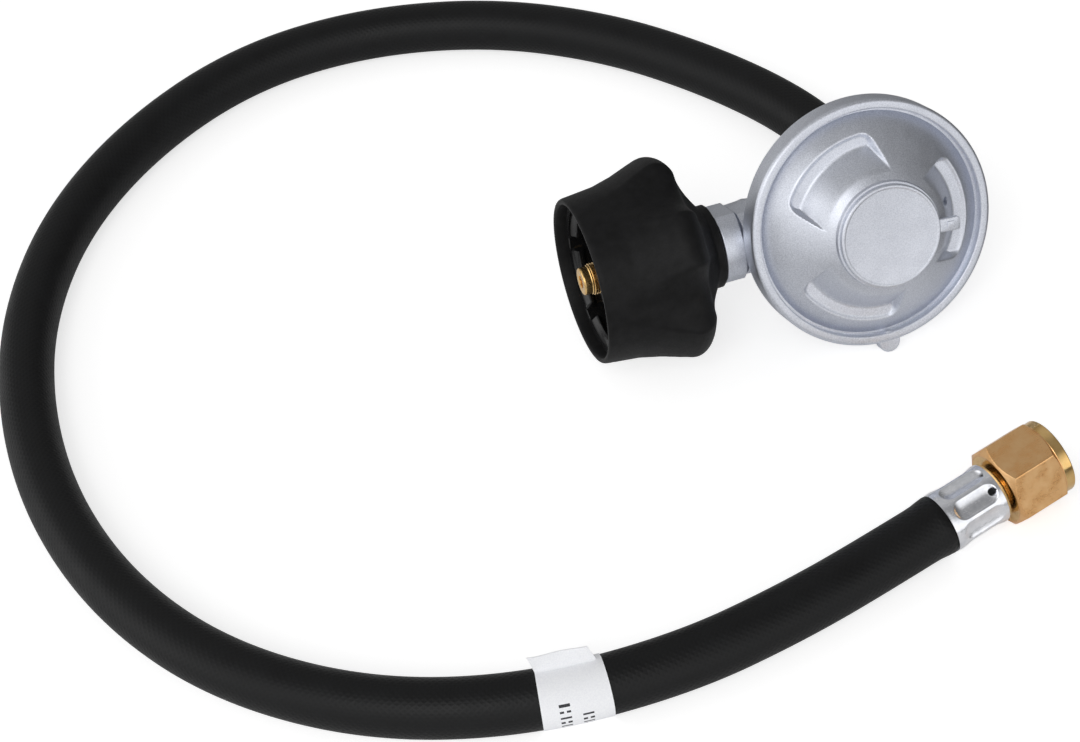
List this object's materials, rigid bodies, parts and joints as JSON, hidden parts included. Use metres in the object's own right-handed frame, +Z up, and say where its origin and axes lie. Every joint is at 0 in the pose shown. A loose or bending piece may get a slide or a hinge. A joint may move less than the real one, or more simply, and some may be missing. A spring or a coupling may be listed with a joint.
{
  "type": "propane regulator hose",
  "caption": "Low-pressure gas regulator with a lobed hand nut inlet, a curved rubber hose and a crimped flare swivel nut at its far end.",
  "frame": {"origin": "centre of the footprint of the regulator and hand nut, on the surface they rest on", "axes": "+Z up; the hand nut mouth looks to -X, raised 2.5 degrees; the cover faces -Y and up; the hose leaves the back towards +Y and lies round the -X side"},
  "size_m": [0.249, 0.2557, 0.0596],
  "materials": {
    "cast_zinc": "bead-blasted die-cast zinc, fine satin grain",
    "black_plastic": "soft matte moulded outside, glossier inside",
    "bushing_plastic": "moulded heat-sensitive plastic",
    "brass": "turned brass, light machining marks",
    "spring_steel": "drawn wire",
    "pressed_steel": "zinc-plated pressed steel",
    "machined_aluminium": "turned aluminium",
    "crimped_aluminium": "bright crimped sleeve",
    "hose_rubber": "smooth black rubber with a faint braid print",
    "seal_rubber": "plain nitrile rubber",
    "paper": "white self-adhesive paper",
    "sintered_bronze": "sintered grains"
  },
  "bodies": {
    "regulator": {"regulator_body": "cast_zinc", "bonnet_cover": "cast_zinc", "closure_cap": "cast_zinc", "adjuster_screw": "machined_aluminium", "main_spring": "spring_steel", "diaphragm": "seal_rubber", "lever_pin": "spring_steel", "inlet_orifice": "brass", "inlet_nipple": "brass", "poppet_spring": "spring_steel", "poppet_stop": "brass", "inlet_filter": "sintered_bronze", "outlet_stem": "brass", "outlet_ferrule": "crimped_aluminium", "end_stem": "brass", "end_ferrule": "crimped_aluminium", "hose": "hose_rubber", "paper_label": "paper"},
    "diaphragm_stack": {"diaphragm_plate": "pressed_steel", "diaphragm_stem": "machined_aluminium", "stem_retainer": "pressed_steel"},
    "lever_arm": {"lever": "pressed_steel"},
    "valve": {"valve_plunger": "machined_aluminium", "seat_disc": "seal_rubber"},
    "poppet": {"excess_flow_poppet": "brass"},
    "bushing": {"thermal_bushing": "bushing_plastic"},
    "hand_nut": {"hand_nut": "black_plastic"},
    "swivel": {"swivel_nut": "brass"}
  },
  "joints": [
    {"name": "diaphragm_lift", "type": "slide", "parent": "regulator", "child": "diaphragm_stack", "axis": [0.0198, -0.891, 0.4536], "range_m": [0, 0.0016], "stiffness_N_per_m": 900, "springref_m": -0.001, "deforming": ["main_spring", "diaphragm"]},
    {"name": "lever_swing", "type": "hinge", "parent": "regulator", "child": "lever_arm", "pos_m": [0.00612, 0.00562, 0.02344], "axis": [0.0389, 0.454, 0.8902], "range_deg": [-7, 0]},
    {"name": "valve_slide", "type": "slide", "parent": "regulator", "child": "valve", "axis": [-0.999, 0, 0.0436], "range_m": [0, 0.00045]},
    {"name": "poppet_slide", "type": "slide", "parent": "regulator", "child": "poppet", "axis": [0.999, 0, -0.0436], "range_m": [0, 0.003], "stiffness_N_per_m": 60, "springref_m": -0.001, "deforming": ["poppet_spring"]},
    {"name": "hand_nut_slide", "type": "slide", "parent": "regulator", "child": "bushing", "axis": [-0.999, 0, 0.0436], "range_m": [0, 0.003]},
    {"name": "hand_nut_spin", "type": "hinge", "parent": "bushing", "child": "hand_nut", "pos_m": [-0.02179, 0.0025, 0.02625], "axis": [-0.999, 0, 0.0436], "continuous": true},
    {"name": "swivel_nut_spin", "type": "hinge", "parent": "regulator", "child": "swivel", "pos_m": [0.02709, -0.08225, 0.01038], "axis": [0.9735, 0.2067, 0.0977], "continuous": true}
  ],
  "couplings": [
    {"joint": "lever_swing", "follows": "diaphragm_lift", "rad_per_m": -71.429},
    {"joint": "valve_slide", "follows": "diaphragm_lift", "ratio": 0.25}
  ]
}
